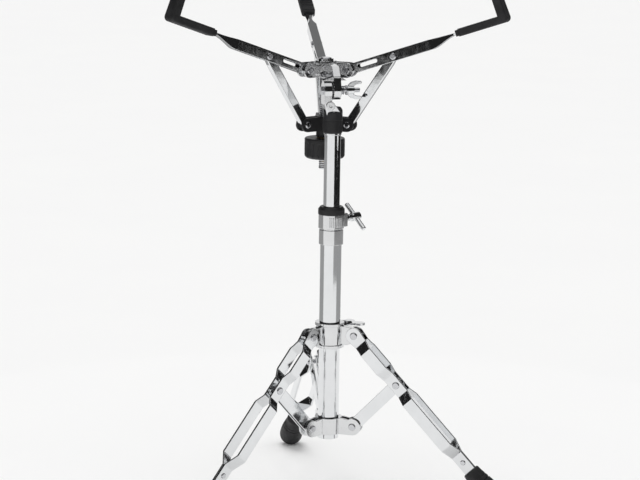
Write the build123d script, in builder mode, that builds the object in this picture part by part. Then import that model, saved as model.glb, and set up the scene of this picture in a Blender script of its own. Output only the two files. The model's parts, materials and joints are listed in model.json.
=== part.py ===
"""Snare drum stand: folding tripod, sliding height tube, ratchet tilter and a three-arm basket.

Millimetres. Origin on the floor under the axis of the upright tube, +Z up,
+Y towards the rear leg and the basket, which hangs behind the tube.
"""
import os
from math import cos, radians, sin

from build123d import *

os.makedirs("parts", exist_ok=True)

# ---- driving dimensions ----
# tubes
LOWER_TUBE_R = 14.3
LOWER_TUBE_WALL = 1.5
LOWER_TUBE_BOTTOM = 77
LOWER_TUBE_TOP = 366
UPPER_TUBE_R = 11.1
UPPER_TUBE_WALL = 1.5
UPPER_TUBE_BOTTOM = 205
UPPER_TUBE_TOP = 499
RUNNING_FIT = 0.06
# folding tripod
LEG_AZIMUTHS = (-30, 90, 210)
LEG_ANGLE = 43.5
PIVOT_R = 36
LINK = 88
HUB_PIVOT_Z = 95.5
COLLAR_PIVOT_Z = HUB_PIVOT_Z + 2 * LINK * cos(radians(LEG_ANGLE))
STRIP_HALF_HEIGHT = 8.25
LEG_STRIP_T = 2.5
STRUT_STRIP_T = 2.2
PINCH = 4.5
UPPER_SPREAD = 11
LOWER_SPREAD = 13
TOE_PINCH = 0.2
STRIP_END = 272
TOE_RIVET_S = 226
FOOT_R = 16.5
FOOT_CENTRE_Z = 15.7
FOOT_TOP_S = 241
FOOT_CENTRE_S = (COLLAR_PIVOT_Z - FOOT_CENTRE_Z) / cos(radians(LEG_ANGLE))
RIVET_R = 3
SCREW_AZIMUTH = 30
COLLAR_BOLT_Z = 231
CLAMP_BOLT_Z = 379.5
# tilter, its axis along X
TILT_Z = 556
TILT_R = 12.5
# basket
BASKET_Y = 45
ARM_AZIMUTHS = (-35.5, 84.5, 204.5)
ARM_ANGLE = 19
ARM_PIVOT_R = 33
ARM_PIVOT_Z = 580
ARM_RIVET_S = 69
ARM_HALF_WIDTH = 6
ARM_HALF_HEIGHT = 7
ARM_WALL = 1.6
ARM_CHANNEL_END = 124
TONGUE_START = 163
CORNER_S = 238
GRIP_START = 167.5
UPRIGHT = 62
UPRIGHT_ANGLE = 94
SPIDER_PIVOT_R = 34.5
SPIDER_PIVOT_Z = 506
ROD_R = 8
ROD_BOTTOM = 443
KNOB_R = 27.5
KNOB_BOTTOM = 458
KNOB_TOP = 486

NAMES = ("right", "rear", "left")


def save(part, name):
    part.label = name
    export_step(part, f"parts/{name}.step")


def outward(azimuth):
    return Vector(cos(radians(azimuth)), sin(radians(azimuth)), 0)


def side_plane(azimuth, origin):
    """Plane standing in the radial direction: x outward, y up, z sideways."""
    a = radians(azimuth)
    return Plane(origin=origin, x_dir=(cos(a), sin(a), 0), z_dir=(sin(a), -cos(a), 0))


def axis_plane(azimuth, origin):
    """Plane facing outward along an azimuth: x sideways, y up, z outward."""
    a = radians(azimuth)
    return Plane(origin=origin, x_dir=(-sin(a), cos(a), 0), z_dir=(cos(a), sin(a), 0))


def at(azimuth, radius, height, centre_y=0.0):
    u = outward(azimuth)
    return Vector(u.X * radius, u.Y * radius + centre_y, height)


def cross_rivet(plane, half_width, shank_r, head_r, head_h):
    """Rivet across a radial plane, with two rounded heads."""
    with BuildPart() as rivet:
        with BuildSketch(plane):
            Circle(shank_r)
        extrude(amount=half_width + 0.2, both=True)
        for side in (1, -1):
            with BuildSketch(plane.offset(side * half_width)):
                Circle(head_r)
            extrude(amount=side * head_h)
        rims = [
            e for e in rivet.edges().filter_by(GeomType.CIRCLE)
            if abs(plane.to_local_coords(e.center()).Z) > half_width + head_h - 0.01
        ]
        fillet(rims, head_h * 0.85)
    return rivet.part


# ---- upright tubes ----
with BuildPart() as lower_tube:
    with BuildSketch(Plane.XY.offset(LOWER_TUBE_BOTTOM)):
        Circle(LOWER_TUBE_R)
        Circle(LOWER_TUBE_R - LOWER_TUBE_WALL, mode=Mode.SUBTRACT)
    extrude(amount=LOWER_TUBE_TOP - LOWER_TUBE_BOTTOM)
save(lower_tube.part, "lower_tube")

with BuildPart() as upper_tube:
    with BuildSketch(Plane.XY.offset(UPPER_TUBE_BOTTOM)):
        Circle(UPPER_TUBE_R)
    extrude(amount=UPPER_TUBE_TOP - UPPER_TUBE_BOTTOM)
    # rolled lip under the cap
    with BuildSketch(Plane.XY.offset(UPPER_TUBE_TOP - 2.4)):
        Circle(UPPER_TUBE_R + 0.9)
    extrude(amount=2.4)
    with BuildSketch(Plane.XY.offset(UPPER_TUBE_BOTTOM)):
        Circle(UPPER_TUBE_R - UPPER_TUBE_WALL)
    extrude(amount=UPPER_TUBE_TOP - UPPER_TUBE_BOTTOM, mode=Mode.SUBTRACT)
save(upper_tube.part, "upper_tube")

# nylon glide on the lower end of the upper tube; the tube turns on its spigot
with BuildPart() as tube_glide:
    with BuildSketch(Plane.XY.offset(UPPER_TUBE_BOTTOM - 0.3)):
        Circle(LOWER_TUBE_R - LOWER_TUBE_WALL - RUNNING_FIT)
    extrude(amount=-12)
    with BuildSketch(Plane.XY.offset(UPPER_TUBE_BOTTOM - 0.3)):
        Circle(UPPER_TUBE_R - UPPER_TUBE_WALL - RUNNING_FIT)
    extrude(amount=18)
    with BuildSketch(Plane.XY.offset(UPPER_TUBE_BOTTOM - 13)):
        Circle(6)
    extrude(amount=40, mode=Mode.SUBTRACT)
save(tube_glide.part, "tube_glide")

# ---- tripod hub at the foot of the tube ----
HUB_SLEEVE_R = 18.5
EAR_IN = PINCH
EAR_T = 2.9
with BuildPart() as leg_hub:
    with BuildSketch(Plane.XY.offset(84)):
        Circle(HUB_SLEEVE_R)
    extrude(amount=22.5)
    for azimuth in LEG_AZIMUTHS:
        for side in (1, -1):
            ear = side_plane(azimuth, (0, 0, 0)).offset(side * EAR_IN)
            with BuildSketch(ear):
                with BuildLine():
                    Polyline(
                        (10, 84), (PIVOT_R, 84), (PIVOT_R + 2, HUB_PIVOT_Z + 11.5),
                        (PIVOT_R - 6, HUB_PIVOT_Z + 9.5), (21, HUB_PIVOT_Z + 11), (10, HUB_PIVOT_Z + 11),
                        close=True,
                    )
                make_face()
                with Locations((PIVOT_R, HUB_PIVOT_Z)):
                    Circle(11.5)
            extrude(amount=side * EAR_T)
    with BuildSketch(Plane.XY.offset(83)):
        Circle(LOWER_TUBE_R)
    extrude(amount=26, mode=Mode.SUBTRACT)
    for azimuth in LEG_AZIMUTHS:
        with BuildSketch(side_plane(azimuth, at(azimuth, PIVOT_R, HUB_PIVOT_Z))):
            Circle(RIVET_R)
        extrude(amount=12, both=True, mode=Mode.SUBTRACT)
save(leg_hub.part, "leg_hub")

save(
    Compound(children=[
        cross_rivet(side_plane(a, at(a, PIVOT_R, HUB_PIVOT_Z)), EAR_IN + EAR_T, RIVET_R, 5, 1.6)
        for a in LEG_AZIMUTHS
    ]),
    "hub_rivets",
)

# ---- sliding leg collar ----
LUG_T = PINCH - 0.3
with BuildPart() as leg_collar:
    with BuildSketch(Plane.XY.offset(COLLAR_PIVOT_Z - 18)):
        Circle(LOWER_TUBE_R + 4)
    extrude(amount=34)
    for rim_z in (COLLAR_PIVOT_Z - 18, COLLAR_PIVOT_Z + 12):
        with BuildSketch(Plane.XY.offset(rim_z)):
            Circle(LOWER_TUBE_R + 5.6)
        extrude(amount=4)
    for azimuth in LEG_AZIMUTHS:
        with BuildSketch(side_plane(azimuth, (0, 0, 0))):
            with BuildLine():
                Polyline(
                    (10, COLLAR_PIVOT_Z - 14), (26, COLLAR_PIVOT_Z - 14), (PIVOT_R + 4, COLLAR_PIVOT_Z - 8),
                    (PIVOT_R + 4, COLLAR_PIVOT_Z + 8), (30, COLLAR_PIVOT_Z + 11), (10, COLLAR_PIVOT_Z + 12),
                    close=True,
                )
            make_face()
            with Locations((PIVOT_R, COLLAR_PIVOT_Z)):
                Circle(9)
        extrude(amount=LUG_T, both=True)
    # threaded boss for the wing bolt
    with BuildSketch(axis_plane(SCREW_AZIMUTH, at(SCREW_AZIMUTH, 10, COLLAR_BOLT_Z))):
        Circle(7)
    extrude(amount=15)
    with BuildSketch(Plane.XY.offset(COLLAR_PIVOT_Z - 20)):
        Circle(LOWER_TUBE_R + 0.08)
    extrude(amount=40, mode=Mode.SUBTRACT)
    for azimuth in LEG_AZIMUTHS:
        with BuildSketch(side_plane(azimuth, at(azimuth, PIVOT_R, COLLAR_PIVOT_Z))):
            Circle(RIVET_R)
        extrude(amount=12, both=True, mode=Mode.SUBTRACT)
    with BuildSketch(axis_plane(SCREW_AZIMUTH, at(SCREW_AZIMUTH, 10, COLLAR_BOLT_Z))):
        Circle(3 + RUNNING_FIT)
    extrude(amount=20, mode=Mode.SUBTRACT)
save(leg_collar.part, "leg_collar")

save(
    Compound(children=[
        cross_rivet(side_plane(a, at(a, PIVOT_R, COLLAR_PIVOT_Z)), PINCH + LEG_STRIP_T + 0.1, RIVET_R, 5, 1.6)
        for a in LEG_AZIMUTHS
    ]),
    "collar_rivets",
)

# pressure pad ahead of the wing bolt
with BuildPart() as collar_pad:
    with BuildSketch(axis_plane(SCREW_AZIMUTH, at(SCREW_AZIMUTH, LOWER_TUBE_R + 0.1, COLLAR_BOLT_Z))):
        Circle(3)
    extrude(amount=2.5)
    with BuildSketch(Plane.XY.offset(COLLAR_BOLT_Z)):
        Circle(LOWER_TUBE_R + 0.08)
    extrude(amount=8, both=True, mode=Mode.SUBTRACT)
save(collar_pad.part, "collar_pad")

# wing bolt, its wings lying level
with BuildPart() as collar_wing_bolt:
    bolt_start = LOWER_TUBE_R + 2.65
    with BuildSketch(axis_plane(SCREW_AZIMUTH, at(SCREW_AZIMUTH, bolt_start, COLLAR_BOLT_Z))):
        Circle(3)
    extrude(amount=18)
    with BuildSketch(axis_plane(SCREW_AZIMUTH, at(SCREW_AZIMUTH, 30.5, COLLAR_BOLT_Z))):
        Circle(5)
    extrude(amount=9, taper=8)
    u30 = outward(SCREW_AZIMUTH)
    with BuildSketch(Plane(origin=at(SCREW_AZIMUTH, 40, COLLAR_BOLT_Z), x_dir=u30, z_dir=(0, 0, 1))):
        with Locations((0, 0)):
            Rectangle(12, 9)
        with Locations((7, 10), (7, -10)):
            Circle(7.5)
        with BuildLine():
            Polyline((-6, -4), (-6, 4), (4, 14), (10, 4), (10, -4), (4, -14), close=True)
        make_face()
    extrude(amount=1.5, both=True)
save(collar_wing_bolt.part, "collar_wing_bolt")

# ---- legs and struts ----
for name, azimuth in zip(NAMES, LEG_AZIMUTHS):
    u = outward(azimuth)
    lean = radians(LEG_ANGLE)
    leg_dir = Vector(u.X * sin(lean), u.Y * sin(lean), -cos(lean))
    sideways = Vector(sin(radians(azimuth)), -cos(radians(azimuth)), 0)
    top = at(azimuth, PIVOT_R, COLLAR_PIVOT_Z)
    face = Plane(origin=top, x_dir=leg_dir, z_dir=sideways)
    edge = Plane(origin=top, x_dir=leg_dir, z_dir=face.y_dir)

    for label, side in (("front", 1), ("back", -1)):
        # local y of the edge plane runs along +sideways or -sideways
        flip = side if edge.y_dir.dot(sideways) > 0 else -side
        path = (
            (-14, PINCH), (15, PINCH), (27, UPPER_SPREAD), (61, UPPER_SPREAD), (73, PINCH),
            (103, PINCH), (115, LOWER_SPREAD), (196, LOWER_SPREAD), (213, TOE_PINCH), (STRIP_END, TOE_PINCH),
        )
        with BuildPart() as strip:
            with BuildSketch(edge):
                with BuildLine():
                    inner = [(s, flip * w) for s, w in path]
                    outer = [(s, flip * (w + LEG_STRIP_T)) for s, w in path]
                    Polyline(*inner, *reversed(outer), close=True)
                make_face()
            extrude(amount=14, both=True)
            # side outline: wide rounded head, straight body, rounded toe
            with BuildSketch(face):
                with BuildLine():
                    Polyline(
                        (0, 11), (22, STRIP_HALF_HEIGHT), (STRIP_END - 8, STRIP_HALF_HEIGHT),
                        (STRIP_END - 8, -STRIP_HALF_HEIGHT), (22, -STRIP_HALF_HEIGHT), (0, -11),
                        close=True,
                    )
                make_face()
                Circle(11)
                with Locations((STRIP_END - 8.25, 0)):
                    Circle(STRIP_HALF_HEIGHT - 0.01)
            extrude(amount=30, both=True, mode=Mode.INTERSECT)
            with BuildSketch(face):
                Circle(RIVET_R + 0.05)
                with Locations((LINK, 0)):
                    Circle(RIVET_R)
                with Locations((TOE_RIVET_S, 0)):
                    Circle(2)
            extrude(amount=30, both=True, mode=Mode.SUBTRACT)
        save(strip.part, f"leg_{name}_{label}_strip")

    pivot = Plane(origin=top + leg_dir * LINK, x_dir=leg_dir, z_dir=sideways)
    toe = Plane(origin=top + leg_dir * TOE_RIVET_S, x_dir=leg_dir, z_dir=sideways)
    save(
        Compound(children=[
            cross_rivet(pivot, PINCH + LEG_STRIP_T, RIVET_R, 5, 1.6),
            cross_rivet(toe, TOE_PINCH + LEG_STRIP_T, 2, 3.6, 1.3),
        ]),
        f"leg_{name}_rivets",
    )

    # rubber foot turned about the leg, flat where it stands on the floor
    with BuildPart() as foot:
        with BuildSketch(face):
            with BuildLine():
                Polyline((FOOT_CENTRE_S + FOOT_R, 0), (FOOT_TOP_S, 0), (FOOT_TOP_S, 10.6), (FOOT_TOP_S + 1.6, 12))
                Spline(
                    (FOOT_TOP_S + 1.6, 12), (FOOT_TOP_S + 14, 13.4), (FOOT_TOP_S + 30, 15.9), (FOOT_CENTRE_S, FOOT_R),
                    tangents=((1, 0), (1, 0)),
                )
                RadiusArc((FOOT_CENTRE_S, FOOT_R), (FOOT_CENTRE_S + FOOT_R, 0), FOOT_R)
            make_face()
        revolve(axis=Axis(top, leg_dir))
        # three shallow grooves around the neck
        for s in (FOOT_TOP_S + 8, FOOT_TOP_S + 14, FOOT_TOP_S + 20):
            ring = Plane(origin=top + leg_dir * s, x_dir=sideways, z_dir=leg_dir)
            with BuildSketch(ring):
                Circle(20)
                Circle(12.1 + (s - FOOT_TOP_S) * 0.07, mode=Mode.SUBTRACT)
            extrude(amount=1.5, mode=Mode.SUBTRACT)
        with BuildSketch(Plane.XY):
            with Locations((u.X * 230, u.Y * 230)):
                Circle(60)
        extrude(amount=-40, mode=Mode.SUBTRACT)
        # pocket holding the two strip ends
        with BuildSketch(Plane(origin=top + leg_dir * (FOOT_TOP_S - 1), x_dir=face.y_dir, z_dir=leg_dir)):
            Rectangle(2 * STRIP_HALF_HEIGHT, 2 * (TOE_PINCH + LEG_STRIP_T))
        extrude(amount=STRIP_END + 1 - FOOT_TOP_S, mode=Mode.SUBTRACT)
    save(foot.part, f"leg_{name}_foot")

    # strut from the hub up to the middle of the leg, two flat strips
    base = at(azimuth, PIVOT_R, HUB_PIVOT_Z)
    strut_dir = Vector(u.X * sin(lean), u.Y * sin(lean), cos(lean))
    for label, side in (("front", 1), ("back", -1)):
        strut_face = Plane(origin=base, x_dir=strut_dir, z_dir=sideways).offset(side * 2.0)
        with BuildPart() as strut:
            with BuildSketch(strut_face):
                with Locations((LINK / 2, 0)):
                    SlotCenterToCenter(LINK, 2 * STRIP_HALF_HEIGHT)
                with Locations((0, 0), (LINK, 0)):
                    Circle(RIVET_R + 0.05, mode=Mode.SUBTRACT)
            extrude(amount=side * STRUT_STRIP_T)
        save(strut.part, f"strut_{name}_{label}_strip")

# ---- height clamp on top of the lower tube ----
BOLT_R = 4
with BuildPart() as height_clamp:
    with BuildSketch(Plane.XY.offset(347.5)):
        Circle(16.4)
    extrude(amount=20)
    with BuildSketch(Plane.XY.offset(367.5)):
        Circle(15.4)
    extrude(amount=2)
    with BuildSketch(Plane.XY.offset(369.5)):
        Circle(17.3)
    extrude(amount=19)
    # flat pad and boss for the T bolt
    with BuildSketch(axis_plane(SCREW_AZIMUTH, at(SCREW_AZIMUTH, 10, CLAMP_BOLT_Z))):
        Rectangle(22, 18)
    extrude(amount=10)
    with BuildSketch(axis_plane(SCREW_AZIMUTH, at(SCREW_AZIMUTH, 12, CLAMP_BOLT_Z))):
        Circle(7.6)
    extrude(amount=13)
    # fine ribs down the front of the casting
    with BuildSketch(Plane.XY.offset(372)):
        with PolarLocations(17.25, 9, start_angle=250, angular_range=60, endpoint=True):
            Circle(0.55)
    extrude(amount=13.5)
    with BuildSketch(Plane.XY.offset(347)):
        Circle(LOWER_TUBE_R)
    extrude(amount=45, mode=Mode.SUBTRACT)
    with BuildSketch(axis_plane(SCREW_AZIMUTH, at(SCREW_AZIMUTH, 12.5, CLAMP_BOLT_Z))):
        Circle(BOLT_R + RUNNING_FIT)
    extrude(amount=16, mode=Mode.SUBTRACT)
save(height_clamp.part, "height_clamp")

with BuildPart() as clamp_bushing:
    with BuildSketch(Plane.XY.offset(LOWER_TUBE_TOP)):
        Circle(LOWER_TUBE_R)
    extrude(amount=388.5 - LOWER_TUBE_TOP)
    with BuildSketch(Plane.XY.offset(388.5)):
        Circle(18)
    extrude(amount=7)
    with BuildSketch(Plane.XY.offset(395.5)):
        Circle(18)
    extrude(amount=3.4, taper=38)
    with BuildSketch(Plane.XY.offset(365)):
        Circle(UPPER_TUBE_R + RUNNING_FIT)
    extrude(amount=40, mode=Mode.SUBTRACT)
    with BuildSketch(axis_plane(SCREW_AZIMUTH, at(SCREW_AZIMUTH, 5, CLAMP_BOLT_Z))):
        Circle(BOLT_R + RUNNING_FIT)
    extrude(amount=20, mode=Mode.SUBTRACT)
save(clamp_bushing.part, "clamp_bushing")

with BuildPart() as clamp_pad:
    with BuildSketch(axis_plane(SCREW_AZIMUTH, at(SCREW_AZIMUTH, 9, CLAMP_BOLT_Z))):
        Circle(BOLT_R)
    extrude(amount=6)
    with BuildSketch(Plane.XY.offset(CLAMP_BOLT_Z)):
        Circle(UPPER_TUBE_R + 0.1)
    extrude(amount=8, both=True, mode=Mode.SUBTRACT)
save(clamp_pad.part, "clamp_pad")

with BuildPart() as clamp_bolt:
    with BuildSketch(axis_plane(SCREW_AZIMUTH, at(SCREW_AZIMUTH, 15.1, CLAMP_BOLT_Z))):
        Circle(BOLT_R)
    extrude(amount=26)
    with BuildSketch(axis_plane(SCREW_AZIMUTH, at(SCREW_AZIMUTH, 31, CLAMP_BOLT_Z))):
        Circle(4.6)
    extrude(amount=6)
    with BuildSketch(axis_plane(SCREW_AZIMUTH, at(SCREW_AZIMUTH, 37, CLAMP_BOLT_Z))):
        Circle(6.2)
    extrude(amount=15)
    tips = clamp_bolt.edges().filter_by(GeomType.CIRCLE).filter_by(lambda e: abs(e.radius - 6.2) < 0.01)
    chamfer(tips, 1.2)
    bar_plane = axis_plane(SCREW_AZIMUTH, at(SCREW_AZIMUTH, 45, CLAMP_BOLT_Z))
    bar_dir = bar_plane.from_local_coords(Vector(cos(radians(40)), sin(radians(40)), 0)) - bar_plane.origin
    with BuildSketch(Plane(origin=bar_plane.origin, z_dir=bar_dir)):
        Circle(3.3)
    extrude(amount=12, both=True, mode=Mode.SUBTRACT)
save(clamp_bolt.part, "clamp_bolt")

with BuildPart() as clamp_crossbar:
    with BuildSketch(Plane(origin=bar_plane.origin, z_dir=bar_dir)):
        Circle(3.3)
    extrude(amount=23.5, both=True)
    fillet(clamp_crossbar.edges().filter_by(GeomType.CIRCLE), 1.4)
save(clamp_crossbar.part, "clamp_crossbar")

# ---- cap and fixed half of the tilter ----
EAR_BACK_X = -14
EAR_FACE_X = -4
HEAD_FACE_X = -1.3
HEAD_END_X = 8.5
WASHER_X = 17
NUT_X = 19.1
TOOTH = 1.1


def tooth_ring(face_x, direction):
    """Ring of radial teeth standing on a face of the tilter, pointing along X."""
    with BuildPart() as ring:
        for k in range(24):
            a = radians(k * 15)
            root = Plane(origin=(face_x, 0, TILT_Z), x_dir=(0, -sin(a), cos(a)), z_dir=(0, cos(a), sin(a)))
            with BuildSketch(root.offset(6)):
                with BuildLine():
                    Polyline((-0.85, -0.2 * direction), (0.85, -0.2 * direction), (0, TOOTH * direction), close=True)
                make_face()
            extrude(amount=TILT_R - 6.6)
    return ring.part


fixed_teeth = tooth_ring(EAR_FACE_X, 1)
moving_teeth = tooth_ring(HEAD_FACE_X, -1)

with BuildPart() as tilter_base:
    # stem pressed into the tube
    with BuildSketch(Plane.XY.offset(472)):
        Circle(UPPER_TUBE_R - UPPER_TUBE_WALL)
    extrude(amount=56)
    with BuildSketch(Plane.XY.offset(524)):
        Rectangle(21, 17)
    with BuildSketch(Plane.XY.offset(538)):
        with Locations((-7, 0)):
            Rectangle(14, 22)
    loft()
    with BuildSketch(Plane.YZ.offset(EAR_BACK_X)):
        with Locations((0, TILT_Z)):
            Circle(TILT_R)
        with Locations((0, TILT_Z - 10)):
            Rectangle(22, 18)
    extrude(amount=EAR_FACE_X - EAR_BACK_X)
    # round boss with a dimple on the front of the casting
    with BuildSketch(Plane.XZ.offset(6)):
        with Locations((-6, 536)):
            Circle(6)
    extrude(amount=6.4)
    with BuildSketch(Plane.XZ.offset(11.4)):
        with Locations((-6, 536)):
            Circle(1.8)
    extrude(amount=2, mode=Mode.SUBTRACT)
    add(fixed_teeth)
    with BuildSketch(Plane.YZ.offset(EAR_BACK_X - 1)):
        with Locations((0, TILT_Z)):
            Circle(3)
    extrude(amount=16, mode=Mode.SUBTRACT)
save(tilter_base.part, "tilter_base")

# black moulded cap over the joint between tube and tilter, higher at the back
with BuildPart() as tube_cap:
    with BuildSketch(Plane.XY.offset(UPPER_TUBE_TOP)):
        Circle(13)
    extrude(amount=36)
    fillet(tube_cap.faces().sort_by(Axis.Z)[0].edges(), 0.8)
    with BuildSketch(Plane.YZ):
        with BuildLine():
            Polyline((-20, 527), (-4, 527), (6, 533), (20, 533), (20, 545), (-20, 545), close=True)
        make_face()
    extrude(amount=20, both=True, mode=Mode.SUBTRACT)
    # seam line around the middle
    with BuildSketch(Plane.XY.offset(515.4)):
        Circle(14)
        Circle(12.6, mode=Mode.SUBTRACT)
    extrude(amount=0.7, mode=Mode.SUBTRACT)
    add(tilter_base.part, mode=Mode.SUBTRACT)
save(tube_cap.part, "tube_cap")

with BuildPart() as tilter_bolt:
    with BuildSketch(Plane.YZ.offset(EAR_BACK_X)):
        with Locations((0, TILT_Z)):
            RegularPolygon(6, 6)
    extrude(amount=-4)
    with BuildSketch(Plane.YZ.offset(EAR_BACK_X)):
        with Locations((0, TILT_Z)):
            Circle(3)
    extrude(amount=50)
save(tilter_bolt.part, "tilter_bolt")

# ---- moving half of the tilter, reaching back to the basket hub ----
HUB_R = 14.5
HUB_LOW = 569
HUB_HIGH = 591
HUB_FRONT_Y = BASKET_Y - 18
FLANGE_X = -2.7
FLANGE_SCREW_X = -7.2
FLANGE_SCREWS_Z = (575.2, 584.8)
with BuildPart() as tilter_head:
    with BuildSketch(Plane.YZ.offset(HEAD_FACE_X)):
        with Locations((0, TILT_Z)):
            Circle(TILT_R)
        with BuildLine():
            Polyline(
                (-12.2, TILT_Z + 2), (-7, TILT_Z + 17), (4, TILT_Z + 31), (HUB_FRONT_Y, TILT_Z + 33),
                (HUB_FRONT_Y, TILT_Z + 14), (15, TILT_Z + 9), (12.2, TILT_Z - 2), close=True,
            )
        make_face()
    extrude(amount=HEAD_END_X - HEAD_FACE_X)
    # sloping shoulders over the toothed faces
    with BuildSketch(Plane.XZ.offset(-4)):
        with BuildLine():
            Polyline(
                (HEAD_FACE_X, TILT_Z + 14), (HEAD_FACE_X, TILT_Z + 19), (HEAD_END_X, TILT_Z + 19),
                (HEAD_END_X + 8, TILT_Z + 13.4), (HEAD_END_X, TILT_Z + 13.4), close=True,
            )
        make_face()
    extrude(amount=10)
    with BuildSketch(Plane.XZ.offset(-4)):
        with BuildLine():
            Polyline(
                (HEAD_FACE_X, TILT_Z + 19), (HEAD_FACE_X - 14, TILT_Z + 14.2),
                (HEAD_FACE_X - 14, TILT_Z + 13), (HEAD_FACE_X, TILT_Z + 13), close=True,
            )
        make_face()
    extrude(amount=10)
    # flange against the hub
    with BuildSketch(Plane.XZ.offset(-HUB_FRONT_Y + 4)):
        with Locations((FLANGE_X, 580)):
            RectangleRounded(20.4, 18, 3)
    extrude(amount=-4)
    add(moving_teeth)
    with BuildSketch(Plane.YZ.offset(HEAD_FACE_X - 2)):
        with Locations((0, TILT_Z)):
            Circle(3 + RUNNING_FIT)
    extrude(amount=20, mode=Mode.SUBTRACT)
    with BuildSketch(Plane.XZ.offset(-HUB_FRONT_Y + 6)):
        with Locations(*[(FLANGE_SCREW_X, z) for z in FLANGE_SCREWS_Z]):
            Circle(1.5)
    extrude(amount=-8, mode=Mode.SUBTRACT)
save(tilter_head.part, "tilter_head")

# sprung washer under the wing nut, and its spring
with BuildPart() as tilter_washer:
    with BuildSketch(Plane.YZ.offset(WASHER_X)):
        with Locations((0, TILT_Z)):
            Circle(6.5)
            Circle(3 + RUNNING_FIT, mode=Mode.SUBTRACT)
    extrude(amount=1.6)
save(tilter_washer.part, "tilter_washer")

with BuildPart() as tilter_spring:
    coil = Helix(
        pitch=2.5, height=5, radius=5, center=(HEAD_END_X + 1.7, 0, TILT_Z), direction=(1, 0, 0), mode=Mode.PRIVATE
    )
    with BuildSketch(Plane(origin=coil @ 0, z_dir=coil % 0)):
        Circle(0.9)
    sweep(path=coil, is_frenet=True)
save(tilter_spring.part, "tilter_spring")

with BuildPart() as tilter_wing_nut:
    with BuildSketch(Plane.YZ.offset(NUT_X)):
        with Locations((0, TILT_Z)):
            Circle(6)
    extrude(amount=9, taper=6)
    # two ears bent outward from the nut
    with BuildSketch(Plane.XZ):
        for side in (1, -1):
            with BuildLine():
                Polyline(
                    (NUT_X + 0.6, TILT_Z + side * 3), (NUT_X + 1, TILT_Z + side * 6.8),
                    (NUT_X + 5, TILT_Z + side * 10.6), (NUT_X + 12, TILT_Z + side * 12.6),
                    (NUT_X + 18.5, TILT_Z + side * 12.2), (NUT_X + 19.6, TILT_Z + side * 10),
                    (NUT_X + 18.6, TILT_Z + side * 8), (NUT_X + 12, TILT_Z + side * 7.4),
                    (NUT_X + 7.5, TILT_Z + side * 4.6), (NUT_X + 7.5, TILT_Z + side * 3), close=True,
                )
            make_face()
    extrude(amount=1.5, both=True)
    with BuildSketch(Plane.YZ.offset(NUT_X - 1)):
        with Locations((0, TILT_Z)):
            Circle(3 + RUNNING_FIT)
    extrude(amount=24, mode=Mode.SUBTRACT)
save(tilter_wing_nut.part, "tilter_wing_nut")

# ---- basket hub, rod, spider and knob ----
HUB_EAR_IN = ARM_HALF_WIDTH + 0.3
SPIDER_EAR_IN = 4.5
with BuildPart() as basket_hub:
    with BuildSketch(Plane.XY.offset(HUB_LOW)):
        with Locations((0, BASKET_Y)):
            Circle(HUB_R)
    extrude(amount=HUB_HIGH - HUB_LOW)
    with BuildSketch(Plane.XY.offset(HUB_HIGH)):
        with Locations((0, BASKET_Y)):
            Circle(10.5)
    extrude(amount=3)
    for azimuth in ARM_AZIMUTHS:
        for side in (1, -1):
            ear = side_plane(azimuth, (0, BASKET_Y, 0)).offset(side * HUB_EAR_IN)
            with BuildSketch(ear):
                with Locations(((ARM_PIVOT_R + 8) / 2, ARM_PIVOT_Z)):
                    Rectangle(ARM_PIVOT_R - 8, 20)
                with Locations((ARM_PIVOT_R, ARM_PIVOT_Z)):
                    Circle(10)
            extrude(amount=side * 2.8)
    # pad that meets the tilter flange
    with BuildSketch(Plane.XZ.offset(-HUB_FRONT_Y)):
        with Locations((FLANGE_X, 580)):
            RectangleRounded(20.4, 18, 3)
    extrude(amount=-8)
    for azimuth in ARM_AZIMUTHS:
        with BuildSketch(side_plane(azimuth, at(azimuth, ARM_PIVOT_R, ARM_PIVOT_Z, BASKET_Y))):
            Circle(RIVET_R)
        extrude(amount=14, both=True, mode=Mode.SUBTRACT)
        # keep the slot for the arm open past the pad
        with BuildSketch(side_plane(azimuth, (0, BASKET_Y, 0))):
            with Locations((32, 581)):
                Rectangle(32, 32)
        extrude(amount=HUB_EAR_IN, both=True, mode=Mode.SUBTRACT)
    with BuildSketch(Plane.XY.offset(HUB_LOW - 1)):
        with Locations((0, BASKET_Y)):
            Circle(ROD_R)
    extrude(amount=40, mode=Mode.SUBTRACT)
    with BuildSketch(Plane.XZ.offset(-HUB_FRONT_Y + 1)):
        with Locations(*[(FLANGE_SCREW_X, z) for z in FLANGE_SCREWS_Z]):
            Circle(1.5)
    extrude(amount=-8, mode=Mode.SUBTRACT)
save(basket_hub.part, "basket_hub")


def flange_screw(z):
    with BuildPart() as screw:
        with BuildSketch(Plane.XZ.offset(-HUB_FRONT_Y - 6)):
            with Locations((FLANGE_SCREW_X, z)):
                Circle(1.5)
        extrude(amount=10)
        with BuildSketch(Plane.XZ.offset(-HUB_FRONT_Y + 4)):
            with Locations((FLANGE_SCREW_X, z)):
                Circle(2.7)
        extrude(amount=2)
        with BuildSketch(Plane.XZ.offset(-HUB_FRONT_Y + 5)):
            with Locations((FLANGE_SCREW_X, z)):
                RegularPolygon(1.3, 6)
        extrude(amount=2, mode=Mode.SUBTRACT)
    return screw.part


save(Compound(children=[flange_screw(z) for z in FLANGE_SCREWS_Z]), "flange_screws")

with BuildPart() as basket_rod:
    with BuildSketch(Plane.XY.offset(ROD_BOTTOM)):
        with Locations((0, BASKET_Y)):
            Circle(ROD_R)
    extrude(amount=HUB_HIGH + 4.5 - ROD_BOTTOM)
    fillet(basket_rod.faces().sort_by(Axis.Z)[0].edges(), 3)
    fillet(basket_rod.faces().sort_by(Axis.Z)[-1].edges(), 1.5)
save(basket_rod.part, "basket_rod")

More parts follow.
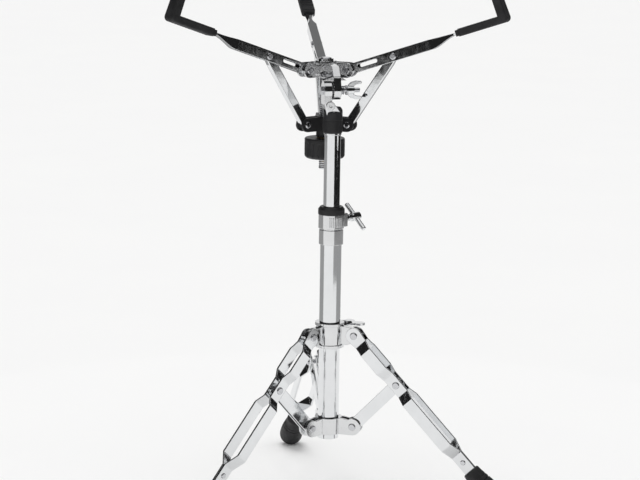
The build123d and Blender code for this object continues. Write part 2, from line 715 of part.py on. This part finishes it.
save(
    Compound(children=[
        cross_rivet(side_plane(a, at(a, ARM_PIVOT_R, ARM_PIVOT_Z, BASKET_Y)), HUB_EAR_IN + 2.8, RIVET_R, 4.8, 1.6)
        for a in ARM_AZIMUTHS
    ]),
    "hub_arm_rivets",
)

with BuildPart() as spider:
    with BuildSketch(Plane.XY.offset(SPIDER_PIVOT_Z - 10)):
        with Locations((0, BASKET_Y)):
            Circle(13.5)
    extrude(amount=20)
    with BuildSketch(Plane.XY.offset(KNOB_TOP + 1.5)):
        with Locations((0, BASKET_Y)):
            Circle(12)
    extrude(amount=10)
    for azimuth in ARM_AZIMUTHS:
        for side in (1, -1):
            ear = side_plane(azimuth, (0, BASKET_Y, 0)).offset(side * SPIDER_EAR_IN)
            with BuildSketch(ear):
                with Locations(((SPIDER_PIVOT_R + 8) / 2, SPIDER_PIVOT_Z)):
                    Rectangle(SPIDER_PIVOT_R - 8, 19)
                with Locations((SPIDER_PIVOT_R, SPIDER_PIVOT_Z)):
                    Circle(9.5)
            extrude(amount=side * 3)
    for azimuth in ARM_AZIMUTHS:
        with BuildSketch(side_plane(azimuth, at(azimuth, SPIDER_PIVOT_R, SPIDER_PIVOT_Z, BASKET_Y))):
            Circle(2.4)
        extrude(amount=12, both=True, mode=Mode.SUBTRACT)
        with BuildSketch(side_plane(azimuth, (0, BASKET_Y, 0))):
            with Locations((36, SPIDER_PIVOT_Z)):
                Rectangle(32, 30)
        extrude(amount=SPIDER_EAR_IN, both=True, mode=Mode.SUBTRACT)
    with BuildSketch(Plane.XY.offset(KNOB_TOP)):
        with Locations((0, BASKET_Y)):
            Circle(ROD_R + 0.1)
    extrude(amount=40, mode=Mode.SUBTRACT)
save(spider.part, "spider")

save(
    Compound(children=[
        cross_rivet(side_plane(a, at(a, SPIDER_PIVOT_R, SPIDER_PIVOT_Z, BASKET_Y)), SPIDER_EAR_IN + 3, 2.4, 4.6, 1.5)
        for a in ARM_AZIMUTHS
    ]),
    "spider_rivets",
)

with BuildPart() as basket_knob:
    with BuildSketch(Plane.XY.offset(KNOB_BOTTOM)):
        with Locations((0, BASKET_Y)):
            Circle(KNOB_R)
    extrude(amount=KNOB_TOP - KNOB_BOTTOM)
    fillet(basket_knob.faces().sort_by(Axis.Z)[0].edges(), 5)
    fillet(basket_knob.faces().sort_by(Axis.Z)[-1].edges(), 2)
    # finger scallops
    with BuildSketch(Plane.XY.offset(KNOB_BOTTOM)):
        with Locations((0, BASKET_Y)):
            with PolarLocations(KNOB_R + 2.6, 18):
                Circle(3.4)
    extrude(amount=22, mode=Mode.SUBTRACT)
    # recess underneath
    with BuildSketch(Plane.XY.offset(KNOB_BOTTOM)):
        with Locations((0, BASKET_Y)):
            Circle(18)
            Circle(13.5, mode=Mode.SUBTRACT)
    extrude(amount=12, mode=Mode.SUBTRACT)
    with BuildSketch(Plane.XY.offset(KNOB_BOTTOM - 1)):
        with Locations((0, BASKET_Y)):
            Circle(11)
    extrude(amount=40, mode=Mode.SUBTRACT)
save(basket_knob.part, "basket_knob")

with BuildPart() as knob_insert:
    with BuildSketch(Plane.XY.offset(KNOB_BOTTOM)):
        with Locations((0, BASKET_Y)):
            Circle(11)
            Circle(ROD_R + 0.08, mode=Mode.SUBTRACT)
    extrude(amount=KNOB_TOP - KNOB_BOTTOM + 1.1)
save(knob_insert.part, "knob_insert")

# ---- basket arms, grips and braces ----
PIN_GAP = 1.1
for name, azimuth in zip(NAMES, ARM_AZIMUTHS):
    u = outward(azimuth)
    rise = radians(ARM_ANGLE)
    side = Vector(sin(radians(azimuth)), -cos(radians(azimuth)), 0)
    arm_dir = Vector(u.X * cos(rise), u.Y * cos(rise), sin(rise))
    pivot = at(azimuth, ARM_PIVOT_R, ARM_PIVOT_Z, BASKET_Y)
    face = Plane(origin=pivot, x_dir=arm_dir, z_dir=side)
    up = face.y_dir

    def section(s, lift=0.0):
        """Cross-section plane of the arm at a distance along it."""
        return Plane(origin=pivot + arm_dir * s + up * lift, x_dir=side, z_dir=arm_dir)

    with BuildPart() as arm:
        # folded channel, open underneath
        with BuildSketch(face):
            with BuildLine():
                Polyline((-1, 7), (ARM_CHANNEL_END, 7), (ARM_CHANNEL_END, -7), (0, -7), close=True)
            make_face()
            Circle(ARM_HALF_HEIGHT)
        extrude(amount=ARM_HALF_WIDTH, both=True)
        # neck drawn down to a flat tongue
        for s, lift, top, bottom, height in (
            (ARM_CHANNEL_END, 0, 2 * ARM_HALF_WIDTH, 2 * ARM_HALF_WIDTH, 2 * ARM_HALF_HEIGHT),
            (ARM_CHANNEL_END + 10, 0.7, 9.8, 6.4, 11.6),
            (ARM_CHANNEL_END + 22, 2.4, 7.4, 4.4, 6.8),
            (ARM_CHANNEL_END + 31, 3.5, 10, 8.6, 4),
            (TONGUE_START, 4, 14, 14, 3),
        ):
            with BuildSketch(section(s, lift)):
                Polygon(
                    (-top / 2, height / 2), (top / 2, height / 2), (bottom / 2, -height / 2), (-bottom / 2, -height / 2),
                    align=None,
                )
        loft()
        # flat tongue and upright core inside the rubber
        turn = radians(UPRIGHT_ANGLE)
        core = CORNER_S - 6.5
        with BuildSketch(face):
            with BuildLine():
                tip = (core + UPRIGHT * 0.86 * cos(turn), 4 + UPRIGHT * 0.86 * sin(turn))
                tip_in = (tip[0] - 3, tip[1])
                Polyline(
                    (TONGUE_START, 2.5), (core + 1, 2.5), tip, tip_in, (core - 2.2, 5.5), (TONGUE_START, 5.5),
                    close=True,
                )
            make_face()
        extrude(amount=7, both=True)
        # hollow of the channel
        with BuildSketch(face):
            with BuildLine():
                Polyline((-9, 5.4), (ARM_CHANNEL_END - 8, 5.4), (ARM_CHANNEL_END + 1, -8), (-9, -8), close=True)
            make_face()
        extrude(amount=ARM_HALF_WIDTH - ARM_WALL, both=True, mode=Mode.SUBTRACT)
        # window through the walls near the hub
        with BuildSketch(face):
            with Locations((31, 1)):
                SlotOverall(30, 5)
        extrude(amount=10, both=True, mode=Mode.SUBTRACT)
        with BuildSketch(face):
            Circle(RIVET_R + 0.05)
            with Locations((ARM_RIVET_S, 0)):
                Circle(2.6)
        extrude(amount=10, both=True, mode=Mode.SUBTRACT)
        # back corner relieved to swing past the hub
        with BuildSketch(face):
            with BuildLine():
                Polyline((-12, 12), (-4, 12), (-4, 5.6), (-12, 2), close=True)
            make_face()
        extrude(amount=10, both=True, mode=Mode.SUBTRACT)
    save(arm.part, f"arm_{name}")

    save(
        cross_rivet(
            Plane(origin=pivot + arm_dir * ARM_RIVET_S, x_dir=arm_dir, z_dir=side), ARM_HALF_WIDTH, 2.6, 4.6, 1.5
        ),
        f"arm_{name}_rivet",
    )

    # L-shaped rubber grip
    with BuildPart() as grip:
        tip = (CORNER_S + UPRIGHT * cos(turn), UPRIGHT * sin(turn))
        with BuildSketch(face):
            with BuildLine():
                Polyline(
                    (GRIP_START, -1), (CORNER_S, -1), tip, (tip[0] - 10.5, tip[1] + 1.5),
                    (CORNER_S - 13, 9.5), (GRIP_START, 9.5), close=True,
                )
            make_face()
        extrude(amount=9.6, both=True)
        corner = grip.edges().filter_by(lambda e: abs(abs(e.tangent_at(0.5).dot(side)) - 1) < 0.001)
        outer = corner.sort_by_distance(pivot + arm_dir * CORNER_S + up * -1)[0]
        fillet(outer, 6)
        shell = [e for e in grip.edges() if abs(e.tangent_at(0.5).dot(side)) < 0.2]
        fillet(shell, 2.2)
        # raised pad on top and a step at the mouth
        with BuildSketch(section(GRIP_START, 4.25)):
            RectangleRounded(17, 8.5, 2)
        extrude(amount=-4)
        for s in (GRIP_START + 14, GRIP_START + 22, GRIP_START + 30, GRIP_START + 38):
            with BuildSketch(section(s, 9.5)):
                Rectangle(15, 1.6)
            extrude(amount=2.2, mode=Mode.SUBTRACT)
        add(arm.part, mode=Mode.SUBTRACT)
    save(grip.part, f"grip_{name}")

    # brace from the arm down to the spider
    foot_point = at(azimuth, SPIDER_PIVOT_R, SPIDER_PIVOT_Z, BASKET_Y)
    arm_point = pivot + arm_dir * ARM_RIVET_S
    brace_dir = (foot_point - arm_point).normalized()
    length = (foot_point - arm_point).length
    brace_face = Plane(origin=arm_point, x_dir=brace_dir, z_dir=side)
    with BuildPart() as brace:
        with BuildSketch(brace_face):
            with BuildLine():
                Polyline((0, 5), (11, 6), (length, 6), (length, -6), (11, -6), (0, -5), close=True)
            make_face()
            Circle(5)
            with Locations((length, 0)):
                Circle(6)
        extrude(amount=4.1, both=True)
        long_edges = [e for e in brace.edges() if abs(e.tangent_at(0.5).dot(brace_dir)) > 0.99]
        fillet(long_edges, 1.2)
        # channel hollow facing the rod, closed along the outer face
        inward = 1 if brace_face.y_dir.dot(u) < 0 else -1
        with BuildSketch(brace_face):
            with Locations((length / 2, inward * 3)):
                Rectangle(length + 40, 14.6)
        extrude(amount=2.7, both=True, mode=Mode.SUBTRACT)
        with BuildSketch(brace_face):
            Circle(2.6 + 0.05)
            with Locations((length, 0)):
                Circle(2.4 + PIN_GAP)
        extrude(amount=10, both=True, mode=Mode.SUBTRACT)
    save(brace.part, f"brace_{name}")
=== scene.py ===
"""Looks of the snare drum stand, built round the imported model. Metres, same frame as the model."""

import json
import math

import bmesh
import bpy
from mathutils import Matrix, Vector


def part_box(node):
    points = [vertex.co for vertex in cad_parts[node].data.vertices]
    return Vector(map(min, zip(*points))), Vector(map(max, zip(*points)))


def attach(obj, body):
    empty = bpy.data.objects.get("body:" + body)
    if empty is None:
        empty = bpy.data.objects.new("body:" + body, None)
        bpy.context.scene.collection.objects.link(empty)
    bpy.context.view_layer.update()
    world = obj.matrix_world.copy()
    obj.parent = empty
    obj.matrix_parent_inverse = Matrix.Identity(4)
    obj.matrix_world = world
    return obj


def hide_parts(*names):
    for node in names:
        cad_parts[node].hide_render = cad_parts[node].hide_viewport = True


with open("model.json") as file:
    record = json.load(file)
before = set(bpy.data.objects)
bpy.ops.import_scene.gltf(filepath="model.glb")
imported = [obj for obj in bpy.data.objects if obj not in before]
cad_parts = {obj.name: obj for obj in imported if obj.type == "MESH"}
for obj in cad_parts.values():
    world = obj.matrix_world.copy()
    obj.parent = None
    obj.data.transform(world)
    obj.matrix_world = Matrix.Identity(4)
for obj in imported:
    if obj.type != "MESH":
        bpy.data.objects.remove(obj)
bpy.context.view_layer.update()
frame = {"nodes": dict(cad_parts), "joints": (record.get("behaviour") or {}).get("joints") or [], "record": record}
nodes = frame["nodes"]


# ---------------------------------------------------------------- materials
def new_material(name):
    """A new node material, its tree and its Principled shader."""
    mat = bpy.data.materials.new(name)
    mat.use_nodes = True
    tree = mat.node_tree
    return mat, tree, tree.nodes["Principled BSDF"]


def noise(tree, scale, detail=4.0, rough=0.55, stretch=None):
    """Noise in the object's own coordinates; stretch squeezes it along an axis into streaks."""
    coord = tree.nodes.new("ShaderNodeTexCoord")
    tex = tree.nodes.new("ShaderNodeTexNoise")
    tex.inputs["Scale"].default_value = scale
    tex.inputs["Detail"].default_value = detail
    tex.inputs["Roughness"].default_value = rough
    source = coord.outputs["Object"]
    if stretch:
        mapping = tree.nodes.new("ShaderNodeMapping")
        mapping.inputs["Scale"].default_value = stretch
        tree.links.new(source, mapping.inputs["Vector"])
        source = mapping.outputs["Vector"]
    tree.links.new(source, tex.inputs["Vector"])
    return tex.outputs["Fac"]


def spread(tree, value, low, high, out_low, out_high):
    """Maps the range low to high of a value onto out_low to out_high, and clamps it there."""
    node = tree.nodes.new("ShaderNodeMapRange")
    for name, number in (("From Min", low), ("From Max", high), ("To Min", out_low), ("To Max", out_high)):
        node.inputs[name].default_value = number
    tree.links.new(value, node.inputs["Value"])
    return node.outputs["Result"]


def combine(tree, operation, first, second):
    """A math node between two values, each a plain number or another node's output."""
    node = tree.nodes.new("ShaderNodeMath")
    node.operation = operation
    for socket, value in zip(node.inputs, (first, second)):
        if isinstance(value, float):
            socket.default_value = value
        else:
            tree.links.new(value, socket)
    return node.outputs[0]


def mix_colour(tree, factor, first, second):
    """Blend of two colours; the first may be another node's output."""
    node = tree.nodes.new("ShaderNodeMix")
    node.data_type = "RGBA"
    colours = [socket for socket in node.inputs if socket.type == "RGBA"]
    for socket, value in zip(colours, (first, second)):
        if isinstance(value, tuple):
            socket.default_value = (*value, 1)
        else:
            tree.links.new(value, socket)
    tree.links.new(factor, node.inputs[0])
    return next(socket for socket in node.outputs if socket.type == "RGBA")


def rounded_edge(tree, radius):
    """Normal of the surface with its corners rounded, and how near a corner is."""
    bevel = tree.nodes.new("ShaderNodeBevel")
    bevel.samples = 6
    bevel.inputs["Radius"].default_value = radius
    geometry = tree.nodes.new("ShaderNodeNewGeometry")
    dot = tree.nodes.new("ShaderNodeVectorMath")
    dot.operation = "DOT_PRODUCT"
    tree.links.new(bevel.outputs["Normal"], dot.inputs[0])
    tree.links.new(geometry.outputs["Normal"], dot.inputs[1])
    return bevel.outputs["Normal"], spread(tree, dot.outputs["Value"], 1.0, 0.86, 0, 1)


def bump(tree, shader, height, strength, distance, normal=None):
    """Fine relief from a height; distance is its depth in metres."""
    node = tree.nodes.new("ShaderNodeBump")
    node.inputs["Strength"].default_value = strength
    node.inputs["Distance"].default_value = distance
    tree.links.new(height, node.inputs["Height"])
    if normal:
        tree.links.new(normal, node.inputs["Normal"])
    tree.links.new(node.outputs["Normal"], shader.inputs["Normal"])


METAL_CORNER = 0.0009
METAL_SCRATCH = 0.02  # how much rougher a scratch is than the metal round it
MOULDED_CORNER = 0.0011


def metal(name, clean, dull, rough, grain, strength, distance):
    """Plated metal: smudges in the gloss, fine handling scratches, and a painted dark reflection in patches along
    the corners.
    """
    mat, tree, shader = new_material(name)
    shader.inputs["Metallic"].default_value = 1.0
    normal, corner = rounded_edge(tree, METAL_CORNER)
    smudge = spread(tree, noise(tree, 38, 5), 0.3, 0.7, 0, 1)
    colour = mix_colour(tree, smudge, clean, dull)
    # Painted reflection: the colour is darkened in patches along the corners, standing in for the dark lines that
    # the edges of chrome mirror.
    painted_edge_reflection = combine(tree, "MULTIPLY", corner, spread(tree, noise(tree, 160, 3), 0.4, 0.6, 0, 0.5))
    colour = mix_colour(tree, painted_edge_reflection, colour, tuple(0.72 * c for c in dull))
    tree.links.new(colour, shader.inputs["Base Color"])
    gloss = spread(tree, noise(tree, 90, 6, 0.6), 0.3, 0.75, *rough)
    scratches = spread(tree, noise(tree, 420, 2, 0.5, (1, 1, 0.06)), 0.58, 0.74, 0, METAL_SCRATCH)
    tree.links.new(combine(tree, "ADD", gloss, scratches), shader.inputs["Roughness"])
    bump(tree, shader, noise(tree, grain, 3), strength, distance, normal)
    return mat


def moulded(name, light, dark, dusty, rough, grain, strength, distance):
    """Moulded plastic or rubber: uneven tone, stippled skin, corners rubbed a little paler."""
    mat, tree, shader = new_material(name)
    normal, corner = rounded_edge(tree, MOULDED_CORNER)
    patch = spread(tree, noise(tree, 60, 6, 0.6), 0.35, 0.75, 0, 1)
    colour = mix_colour(tree, patch, dark, light)
    rubbed = combine(tree, "MULTIPLY", corner, spread(tree, noise(tree, 210, 4), 0.42, 0.62, 0.1, 0.7))
    colour = mix_colour(tree, rubbed, colour, dusty)
    tree.links.new(colour, shader.inputs["Base Color"])
    gloss = spread(tree, noise(tree, 140, 4), 0.3, 0.7, *rough)
    tree.links.new(gloss, shader.inputs["Roughness"])
    bump(tree, shader, noise(tree, grain, 2), strength, distance, normal)
    return mat


FINISH = {
    "chrome": metal(
        "chrome_plate", clean=(0.83, 0.84, 0.85), dull=(0.78, 0.79, 0.80),
        rough=(0.03, 0.09), grain=55, strength=0.04, distance=0.0006,
    ),
    "cast_chrome": metal(
        "cast_chrome", clean=(0.78, 0.785, 0.79), dull=(0.71, 0.715, 0.725),
        rough=(0.07, 0.14), grain=300, strength=0.05, distance=0.0004,
    ),
    "steel": metal(
        "zinc_plate", clean=(0.70, 0.71, 0.73), dull=(0.62, 0.62, 0.64),
        rough=(0.16, 0.30), grain=420, strength=0.12, distance=0.0003,
    ),
    "brass": metal(
        "turned_brass", clean=(0.74, 0.57, 0.29), dull=(0.62, 0.46, 0.22),
        rough=(0.18, 0.34), grain=380, strength=0.10, distance=0.0003,
    ),
    "black_plastic": moulded(
        "black_plastic", light=(0.020, 0.020, 0.022), dark=(0.010, 0.010, 0.011), dusty=(0.05, 0.05, 0.052),
        rough=(0.34, 0.52), grain=900, strength=0.16, distance=0.0003,
    ),
    "nylon": moulded(
        "pale_nylon", light=(0.80, 0.79, 0.74), dark=(0.70, 0.69, 0.64), dusty=(0.84, 0.83, 0.80),
        rough=(0.40, 0.55), grain=700, strength=0.10, distance=0.0003,
    ),
    "grip_rubber": moulded(
        "grip_rubber", light=(0.024, 0.024, 0.026), dark=(0.010, 0.010, 0.011), dusty=(0.06, 0.06, 0.06),
        rough=(0.55, 0.74), grain=1300, strength=0.28, distance=0.0004,
    ),
    "foot_rubber": moulded(
        "foot_rubber", light=(0.022, 0.022, 0.023), dark=(0.009, 0.009, 0.010), dusty=(0.055, 0.054, 0.052),
        rough=(0.46, 0.70), grain=1100, strength=0.25, distance=0.0004,
    ),
}
slot_of = {part["node"]: part["material_slot"] for part in frame["record"]["subparts"]}
for name, node in nodes.items():
    node.data.materials.clear()
    node.data.materials.append(FINISH[slot_of[name]])


# ---------------------------------------------------------------- new pieces
UP = Vector((0, 0, 1))


def circle(mesh, centre, axis, side, radius, around):
    """A ring of bmesh points round an axis, starting at side."""
    across = axis.cross(side)
    angles = [2 * math.pi * k / around for k in range(around)]
    return [mesh.verts.new(centre + (side * math.cos(a) + across * math.sin(a)) * radius) for a in angles]


def skin(mesh, rings):
    """Joins rings of points into a closed, smooth skin with flat ends."""
    around = len(rings[0])
    for low, high in zip(rings, rings[1:]):
        for k in range(around):
            n = (k + 1) % around
            mesh.faces.new((low[k], low[n], high[n], high[k])).smooth = True
    mesh.faces.new(list(reversed(rings[0])))
    mesh.faces.new(rings[-1])


def stand_in(name, mesh, node):
    """Turns a bmesh into a piece in the finish of the node that it stands for."""
    bmesh.ops.recalc_face_normals(mesh, faces=mesh.faces)
    data = bpy.data.meshes.new(name)
    mesh.to_mesh(data)
    mesh.free()
    piece = bpy.data.objects.new(name, data)
    bpy.context.scene.collection.objects.link(piece)
    data.materials.append(FINISH[slot_of[node]])
    return piece


# ---------------------------------------------------------------- threaded rod
THREAD_PITCH = 0.0025
THREAD_DEPTH = 0.0008
THREAD_RUN = (0.002, 0.112)  # where the thread begins and ends, up from the rod's foot
ROD_CHAMFER = 0.0012
ROD_AROUND = 40
ROWS_A_TURN = 8

rod_low, rod_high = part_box("basket_rod")
rod_centre = (rod_low + rod_high) / 2
rod_foot = Vector((rod_centre.x, rod_centre.y, rod_low.z))
rod_length = rod_high.z - rod_low.z
rod_radius = (rod_high.x - rod_low.x) / 2


def rod_reach(along, turn):
    """The rod's radius at a height and a share of a turn: rolled thread in its run, fading at its ends."""
    inside = min(along - THREAD_RUN[0], THREAD_RUN[1] - along)
    cut = max(0.0, min(1.0, inside / THREAD_PITCH))
    wave = (along / THREAD_PITCH - turn) % 1
    tooth = min(1.0, max(0.0, 2.4 * abs(wave - 0.5) - 0.1))
    chamfer = max(0.0, ROD_CHAMFER - min(along, rod_length - along))
    return rod_radius - THREAD_DEPTH * tooth * cut - chamfer


mesh = bmesh.new()
rings = []
side = UP.orthogonal().normalized()
row_step = THREAD_PITCH / ROWS_A_TURN
for row in range(int(rod_length / row_step) + 1):
    along = min(row * row_step, rod_length)
    ring = circle(mesh, Vector((0, 0, 0)), UP, side, 1, ROD_AROUND)
    for k, point in enumerate(ring):
        point.co = rod_foot + UP * along + point.co * rod_reach(along, k / ROD_AROUND)
    rings.append(ring)
skin(mesh, rings)
rod = stand_in("basket_rod_threaded", mesh, "basket_rod")
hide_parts("basket_rod")
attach(rod, "basket")

# ---------------------------------------------------------------- spider rivets
RIVET_SHANK_R = 0.0022  # thin enough to clear the braces' holes over the whole of the spider's travel
RIVET_HEAD_R = 0.0046
RIVET_HEAD_H = 0.0015
RIVET_RIM = 0.25  # the straight part of the head's side, as a share of its height
RIVET_AROUND = 36
CROWN_STEPS = 8


def domed_rivet(mesh, centre, axis, half_length):
    """Adds a rivet to a bmesh: a plain shank between two heads with rounded crowns."""
    seat = half_length - RIVET_HEAD_H
    head = [(seat, RIVET_SHANK_R), (seat, RIVET_HEAD_R)]
    for i in range(CROWN_STEPS):
        angle = math.pi / 2 * i / CROWN_STEPS
        rise = RIVET_RIM + (1 - RIVET_RIM) * math.sin(angle)
        head.append((seat + RIVET_HEAD_H * rise, RIVET_HEAD_R * math.cos(angle) ** 0.6))
    profile = [(-along, radius) for along, radius in reversed(head)] + head
    rings = [circle(mesh, centre + axis * along, axis, UP, r, RIVET_AROUND) for along, r in profile]
    skin(mesh, rings)


def span(points, direction):
    """Lowest and highest place of some points along a direction."""
    places = [point.dot(direction) for point in points]
    return min(places), max(places)


mesh = bmesh.new()
for joint in frame["joints"]:
    if joint["name"] in ("arm_right_hinge", "arm_rear_hinge", "arm_left_hinge"):
        axis = Vector(joint["axis"]).normalized()
        outwards = Vector(joint["pos_m"]) - rod_centre
        outwards.z = 0
        outwards.normalize()
        own = []
        for vertex in nodes["spider_rivets"].data.vertices:
            bearing = vertex.co - rod_centre
            bearing.z = 0
            if bearing.normalized().dot(outwards) > 0.7:
                own.append(vertex.co)
        low, high = span(own, axis)
        centre = axis * (low + high) / 2
        centre += outwards * sum(span(own, outwards)) / 2 + UP * sum(span(own, UP)) / 2
        domed_rivet(mesh, centre, axis, (high - low) / 2)
rivets = stand_in("spider_rivets_domed", mesh, "spider_rivets")
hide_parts("spider_rivets")
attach(rivets, "spider")

# ---------------------------------------------------------------- stage
bpy.context.scene.view_settings.view_transform = "Standard"
TURN = math.radians(13.3)  # how far the camera has gone round the stand
AWAY = Vector((math.sin(TURN), math.cos(TURN), 0))
RIGHT = Vector((math.cos(TURN), -math.sin(TURN), 0))


def paper_material(name, light, dark):
    """Matt studio paper with a faint unevenness."""
    mat, tree, shader = new_material(name)
    tree.links.new(mix_colour(tree, noise(tree, 3, 3), light, dark), shader.inputs["Base Color"])
    shader.inputs["Roughness"].default_value = 0.85
    shader.inputs["Specular IOR Level"].default_value = 0.1
    return mat


RING_STEP = 5  # degrees


def floor_ring(name, first, last, inner, outer, height, material):
    """Part of a flat ring on the floor, between two bearings in degrees from the front towards the right."""
    count = max(2, round((last - first) / RING_STEP))
    points, faces = [], []
    for i in range(count + 1):
        bearing = math.radians(first + (last - first) * i / count)
        towards = RIGHT * math.sin(bearing) - AWAY * math.cos(bearing)
        points += [towards * inner + UP * height, towards * outer + UP * height]
        if i:
            faces.append((2 * i - 2, 2 * i - 1, 2 * i + 1, 2 * i))
    mesh = bpy.data.meshes.new(name)
    mesh.from_pydata(points, [], faces)
    mesh.materials.append(material)
    obj = bpy.data.objects.new(name, mesh)
    bpy.context.scene.collection.objects.link(obj)
    return obj


white = paper_material("floor_paper", (0.925, 0.925, 0.92), (0.905, 0.905, 0.905))
grey = paper_material("grey_paper", (0.36, 0.36, 0.36), (0.33, 0.33, 0.33))

floor = floor_ring("floor", 0, 360, 0.0, 40, 0, white)
floor.visible_glossy = False
# Reflection cards lying on the floor, which only mirror-like surfaces see. They are white ahead, grey beside
# and behind, with a dark room beyond, so the chrome has the hard black and white bands of plated tube.
# Each row is a name, two bearings, two radii, a height and the paper.
for name, first, last, inner, outer, height, material in (
    ("card_near", 0, 360, 0.0, 0.9, 0.0004, white),
    ("card_front", -78, 30, 0.9, 4.85, 0.0004, white),
    ("card_right", 30, 72, 0.9, 1.4, 0.0004, white),
    ("card_side", 68, 88, 3.2, 4.9, 0.0004, white),
    ("card_grey_right", 30, 150, 0.8, 2.1, 0.0002, grey),
    ("card_grey_left", 150, 282, 0.8, 3.5, 0.0002, grey),
):
    card = floor_ring(name, first, last, inner, outer, height, material)
    card.visible_camera = False
    card.visible_diffuse = False
    card.visible_shadow = False

# ---------------------------------------------------------------- world
world = bpy.data.worlds.new("studio")
bpy.context.scene.world = world
world.use_nodes = True
tree = world.node_tree
tree.nodes.clear()
ROOM_FILL = 0.86
ROOM_BACKDROP = 0.95
ROOM_GLOW = 0.018
out = tree.nodes.new("ShaderNodeOutputWorld")
path = tree.nodes.new("ShaderNodeLightPath")
coord = tree.nodes.new("ShaderNodeTexCoord")


def dot(vector):
    """How far the ray's direction agrees with a vector."""
    node = tree.nodes.new("ShaderNodeVectorMath")
    node.operation = "DOT_PRODUCT"
    tree.links.new(coord.outputs["Generated"], node.inputs[0])
    node.inputs[1].default_value = vector
    return node.outputs["Value"]


def step(value, low, high, amount=1.0):
    """Soft step from 0 to amount between low and high."""
    node = tree.nodes.new("ShaderNodeMapRange")
    node.interpolation_type = "SMOOTHSTEP"
    node.inputs["From Min"].default_value = low
    node.inputs["From Max"].default_value = high
    node.inputs["To Max"].default_value = amount
    tree.links.new(value, node.inputs["Value"])
    return node.outputs["Result"]


# What polished metal reflects of the room: a lit ceiling and back wall, a soft box at the front left, a glow.
overhead = step(dot(UP), 0.80, 0.88)
behind = step(dot(AWAY), 0.80, 0.90)
soft_box = step(dot((RIGHT * -0.50 - AWAY * 0.45 + UP * 0.74).normalized()), 0.93, 0.96)
rear_fill = step(dot((AWAY + UP).normalized()), 0.86, 0.99, 0.2)
level = combine(tree, "MAXIMUM", overhead, behind)
level = combine(tree, "MAXIMUM", level, combine(tree, "MAXIMUM", soft_box, rear_fill))
level = combine(tree, "ADD", level, ROOM_GLOW)


def background(level):
    """White light of a strength, a plain number or another node's output."""
    node = tree.nodes.new("ShaderNodeBackground")
    if isinstance(level, float):
        node.inputs["Strength"].default_value = level
    else:
        tree.links.new(level, node.inputs["Strength"])
    return node.outputs["Background"]


def pick(factor, first, second):
    """The first light where factor is 0 and the second where it is 1."""
    node = tree.nodes.new("ShaderNodeMixShader")
    tree.links.new(factor, node.inputs["Fac"])
    tree.links.new(first, node.inputs[1])
    tree.links.new(second, node.inputs[2])
    return node.outputs[0]


seen = pick(path.outputs["Is Glossy Ray"], background(ROOM_FILL), background(level))
seen = pick(path.outputs["Is Camera Ray"], seen, background(ROOM_BACKDROP))
tree.links.new(seen, out.inputs["Surface"])

# ---------------------------------------------------------------- light
sun_data = bpy.data.lights.new("soft_sun", "SUN")
sun_data.energy = 1.15
sun_data.angle = math.radians(38)
sun = bpy.data.objects.new("soft_sun", sun_data)
sun.rotation_euler = (RIGHT * 0.12 - AWAY * 0.30 - UP).to_track_quat("-Z", "Y").to_euler()
sun.visible_glossy = False
bpy.context.scene.collection.objects.link(sun)

# ---------------------------------------------------------------- camera
PITCH = math.radians(10.93)
ROLL = math.radians(0.84)
LENS = 123.0
PLACE = RIGHT * -0.01486 - AWAY * 2.90463 + UP * 0.91302
cam_data = bpy.data.cameras.new("camera")
cam_data.sensor_width = 36
cam_data.lens = LENS
cam_data.clip_end = 100
camera = bpy.data.objects.new("camera", cam_data)
look = AWAY * math.cos(PITCH) - UP * math.sin(PITCH)
level_up = AWAY * math.sin(PITCH) + UP * math.cos(PITCH)
right = RIGHT * math.cos(ROLL) + level_up * math.sin(ROLL)
up = level_up * math.cos(ROLL) - RIGHT * math.sin(ROLL)
camera.matrix_world = Matrix(
    (
        (right.x, up.x, -look.x, PLACE.x),
        (right.y, up.y, -look.y, PLACE.y),
        (right.z, up.z, -look.z, PLACE.z),
        (0, 0, 0, 1),
    )
)
bpy.context.scene.collection.objects.link(camera)
bpy.context.scene.camera = camera
